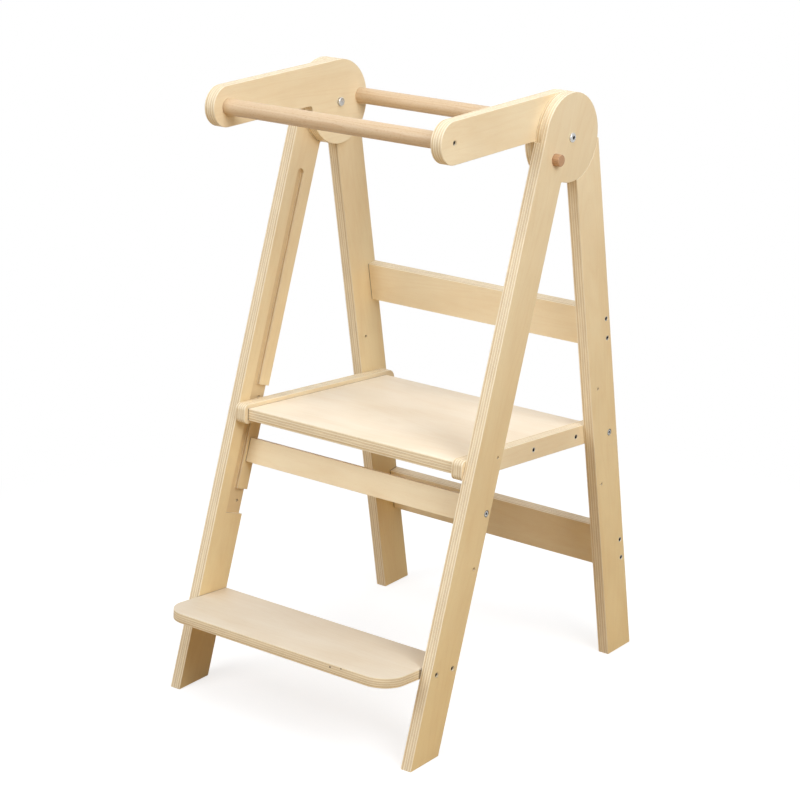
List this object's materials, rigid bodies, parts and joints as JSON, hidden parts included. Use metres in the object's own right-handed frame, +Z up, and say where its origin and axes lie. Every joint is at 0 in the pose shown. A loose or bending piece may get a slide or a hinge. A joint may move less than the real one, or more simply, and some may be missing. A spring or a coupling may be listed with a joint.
{
  "type": "toddler kitchen helper stool",
  "caption": "Folding A-frame learning tower for a toddler, with a low step, a standing platform that folds with the legs and a handrail that swings up when its side pegs are pulled.",
  "frame": {"origin": "centre of the whole stool's box, on the floor", "axes": "+Z up, the front (step side) faces -Y, +X across the stool"},
  "size_m": [0.481, 0.5866, 0.901],
  "materials": {
    "leg_ply": "clear-lacquered birch plywood, face veneer",
    "rail_ply": "clear-lacquered birch plywood, face veneer",
    "deck_ply": "clear-lacquered birch plywood, paler face veneer",
    "arm_ply": "clear-lacquered birch plywood, face veneer",
    "beech": "clear-lacquered turned beech",
    "peg_beech": "oiled turned beech, darker",
    "screw_zinc": "zinc-plated countersunk screws",
    "steel_bolt": "zinc-plated bolts and nuts",
    "nylon": "plain nylon"
  },
  "bodies": {
    "front_frame": {"left_front_leg": "leg_ply", "right_front_leg": "leg_ply", "step_board": "deck_ply", "front_crossbar": "rail_ply", "step_screws": "screw_zinc", "crossbar_bolts": "steel_bolt", "crossbar_nuts": "steel_bolt", "head_pivot_bolts": "steel_bolt", "head_pivot_nuts": "steel_bolt"},
    "rear_frame": {"left_rear_leg": "leg_ply", "right_rear_leg": "leg_ply", "upper_back_rail": "rail_ply", "lower_back_rail": "rail_ply", "upper_rail_screws": "screw_zinc", "lower_rail_screws": "screw_zinc", "platform_pivot_bolts": "steel_bolt", "platform_pivot_nuts": "steel_bolt"},
    "platform": {"platform_board": "deck_ply", "left_side_bar": "rail_ply", "right_side_bar": "rail_ply", "side_bar_screws": "screw_zinc", "guide_pins": "steel_bolt"},
    "handrail": {"left_handrail_arm": "arm_ply", "right_handrail_arm": "arm_ply", "front_dowel": "beech", "back_dowel": "beech", "dowel_screws": "screw_zinc"},
    "guide_rollers": {"left_guide_roller": "nylon", "right_guide_roller": "nylon"},
    "left_peg": {"left_locking_peg": "peg_beech"},
    "right_peg": {"right_locking_peg": "peg_beech"}
  },
  "joints": [
    {"name": "leg_fold", "type": "hinge", "parent": "front_frame", "child": "rear_frame", "pos_m": [0, 0.11259, 0.837], "axis": [-1, 0, 0], "range_deg": [0, 28.15]},
    {"name": "platform_fold", "type": "hinge", "parent": "rear_frame", "child": "platform", "pos_m": [0, 0.22314, 0.36774], "axis": [-1, 0, 0], "range_deg": [0, 61.8]},
    {"name": "roller_slide", "type": "slide", "parent": "front_frame", "child": "guide_rollers", "axis": [0, 0.3461, 0.9382], "range_m": [0, 0.301]},
    {"name": "handrail_swing", "type": "hinge", "parent": "front_frame", "child": "handrail", "pos_m": [0, 0.11259, 0.837], "axis": [-1, 0, 0], "range_deg": [0, 110]},
    {"name": "left_peg_pull", "type": "slide", "parent": "front_frame", "child": "left_peg", "axis": [-1, 0, 0], "range_m": [0, 0.035]},
    {"name": "right_peg_pull", "type": "slide", "parent": "front_frame", "child": "right_peg", "axis": [1, 0, 0], "range_m": [0, 0.035]}
  ],
  "couplings": [
    {"joint": "platform_fold", "follows": "leg_fold", "ratio": 2.1935},
    {"joint": "roller_slide", "follows": "leg_fold", "m_per_rad": 0.61151}
  ]
}
